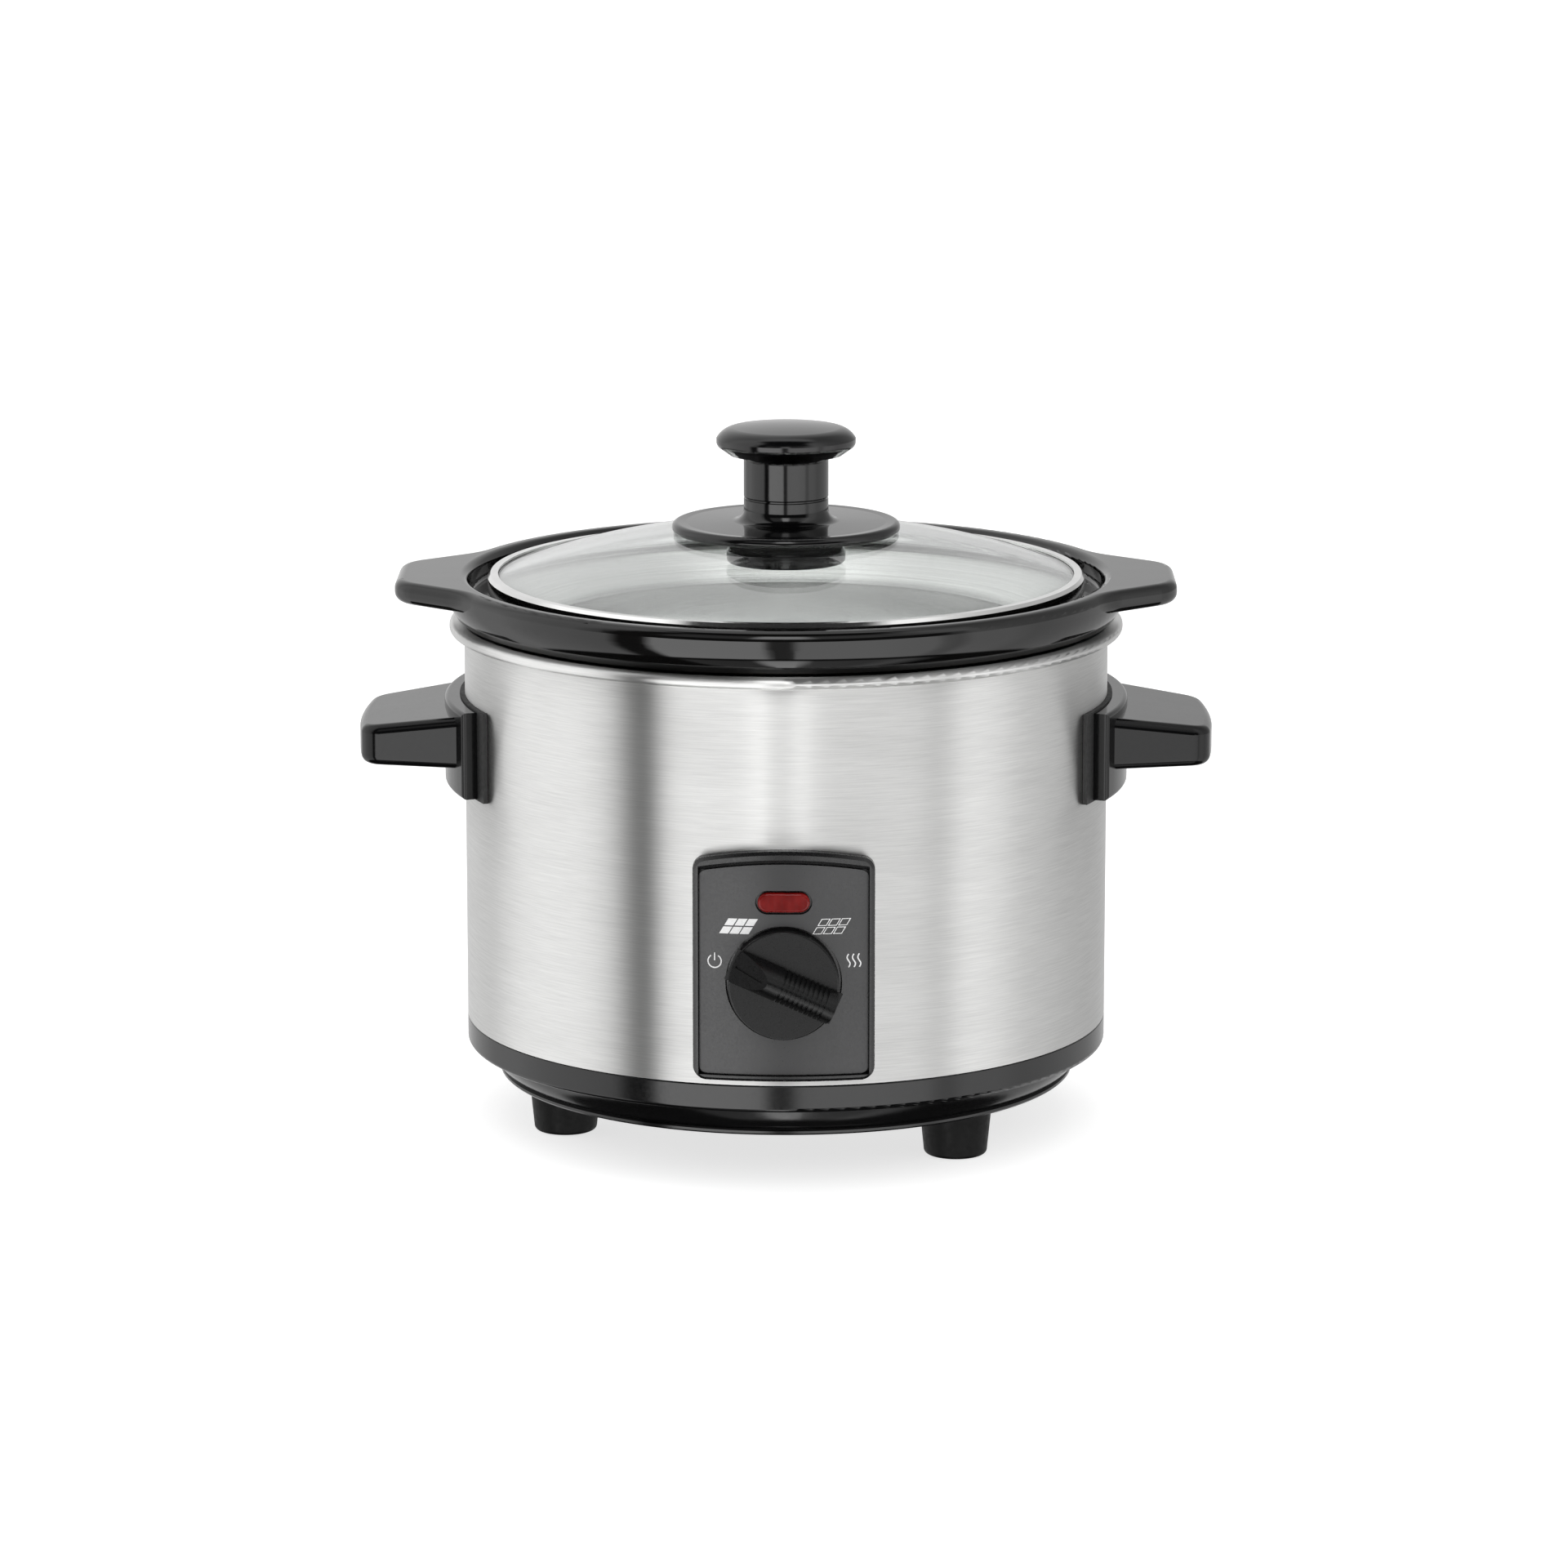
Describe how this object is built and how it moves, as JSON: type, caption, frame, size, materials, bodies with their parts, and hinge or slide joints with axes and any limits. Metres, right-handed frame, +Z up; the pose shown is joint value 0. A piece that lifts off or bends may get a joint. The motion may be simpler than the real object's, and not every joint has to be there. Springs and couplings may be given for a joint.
{
  "type": "slow cooker",
  "caption": "Small round slow cooker with a brushed steel body, front dial panel, side handles, lift-out black crock, shallow steel dish and domed glass lid with knob.",
  "frame": {"origin": "on the body's vertical axis, at the height of the feet's undersides", "axes": "+X to the right seen from the front, towards one handle; +Y to the back, where the cord leaves; +Z up"},
  "size_m": [0.2478, 0.2122, 0.2052],
  "materials": {
    "shell_steel": "satin stainless steel brushed round the body",
    "well_steel": "aluminised steel, dull",
    "dish_steel": "stainless steel, bright with a turned floor",
    "band_steel": "bright polished stainless steel",
    "zinc_steel": "zinc plated",
    "brass": "bare brass",
    "crock_glaze": "glossy black glaze on stoneware",
    "glass": "clear tempered glass",
    "knob_phenolic": "glossy black phenolic",
    "handle_phenolic": "glossy black phenolic",
    "base_plastic": "glossy black moulding",
    "foot_rubber": "semi-matte black rubber",
    "frame_plastic": "black moulding with a satin edge",
    "face_plastic": "satin dark grey with plain white symbols",
    "dial_plastic": "satin black moulding",
    "lens_red": "clear red moulding",
    "silicone": "translucent white silicone rubber",
    "heat_gasket": "matt black silicone rubber",
    "mica_heater": "thin steel skin over mica, dull",
    "glass_wool": "pale needled glass fibre",
    "shield_aluminium": "mill finish",
    "spring_steel": "spring steel",
    "switch_plastic": "dark phenolic moulding",
    "shaft_plastic": "pale engineering plastic",
    "lamp_glass": "neon lamp glass",
    "holder_plastic": "white moulding",
    "porcelain": "unglazed white porcelain",
    "fuse_body": "bare metal can",
    "gland_plastic": "matt black moulding",
    "wire_sleeve": "white glass-fibre sleeving"
  },
  "bodies": {
    "base": {"outer_shell": "shell_steel", "base_pan": "base_plastic", "foot_right": "foot_rubber", "foot_rear": "foot_rubber", "foot_left": "foot_rubber", "foot_screws": "zinc_steel", "heating_well": "well_steel", "band_heater": "mica_heater", "band_clamp_brackets": "zinc_steel", "band_clamp_screw": "zinc_steel", "insulation_sleeve": "glass_wool", "heat_shield": "shield_aluminium", "shield_spacer": "zinc_steel", "centre_stud": "zinc_steel", "centre_washer": "zinc_steel", "centre_nut": "zinc_steel", "handle_right": "handle_phenolic", "handle_left": "handle_phenolic", "handle_gasket_right": "heat_gasket", "handle_gasket_left": "heat_gasket", "handle_screws": "zinc_steel", "handle_washers": "zinc_steel", "panel_frame": "frame_plastic", "panel_face": "face_plastic", "panel_screws": "zinc_steel", "indicator_lens": "lens_red", "neon_lamp": "lamp_glass", "lamp_holder": "holder_plastic", "rotary_switch_body": "switch_plastic", "switch_nut": "zinc_steel", "switch_terminals": "brass", "thermal_fuse": "fuse_body", "thermal_fuse_clip": "spring_steel", "terminal_block": "porcelain", "terminal_screws": "brass", "earth_tag": "brass", "cord_gland": "gland_plastic", "internal_wiring": "wire_sleeve"},
    "control_knob_set": {"control_knob": "dial_plastic", "switch_shaft": "shaft_plastic", "knob_spring_clip": "spring_steel"},
    "crock_set": {"crock": "crock_glaze"},
    "dish_set": {"insert_dish": "dish_steel"},
    "lid_set": {"lid_glass": "glass", "lid_rim_band": "band_steel", "lid_knob_base": "knob_phenolic", "lid_knob": "knob_phenolic", "knob_insert": "brass", "lid_gasket_upper": "silicone", "lid_boss": "knob_phenolic", "lid_gasket_lower": "silicone", "lid_screw": "zinc_steel"}
  },
  "joints": [
    {"name": "dial_turn", "type": "hinge", "parent": "base", "child": "control_knob_set", "pos_m": [0, -0.1, 0.0621], "axis": [0, 1, 0], "range_deg": [0, 132]},
    {"name": "crock_lift", "type": "slide", "parent": "base", "child": "crock_set", "axis": [0, 0, 1], "range_m": [0, 0.1]},
    {"name": "dish_lift", "type": "slide", "parent": "crock_set", "child": "dish_set", "axis": [0, 0, 1], "range_m": [0, 0.06]},
    {"name": "lid_lift", "type": "slide", "parent": "dish_set", "child": "lid_set", "axis": [0, 0, 1], "range_m": [0, 0.08]}
  ]
}
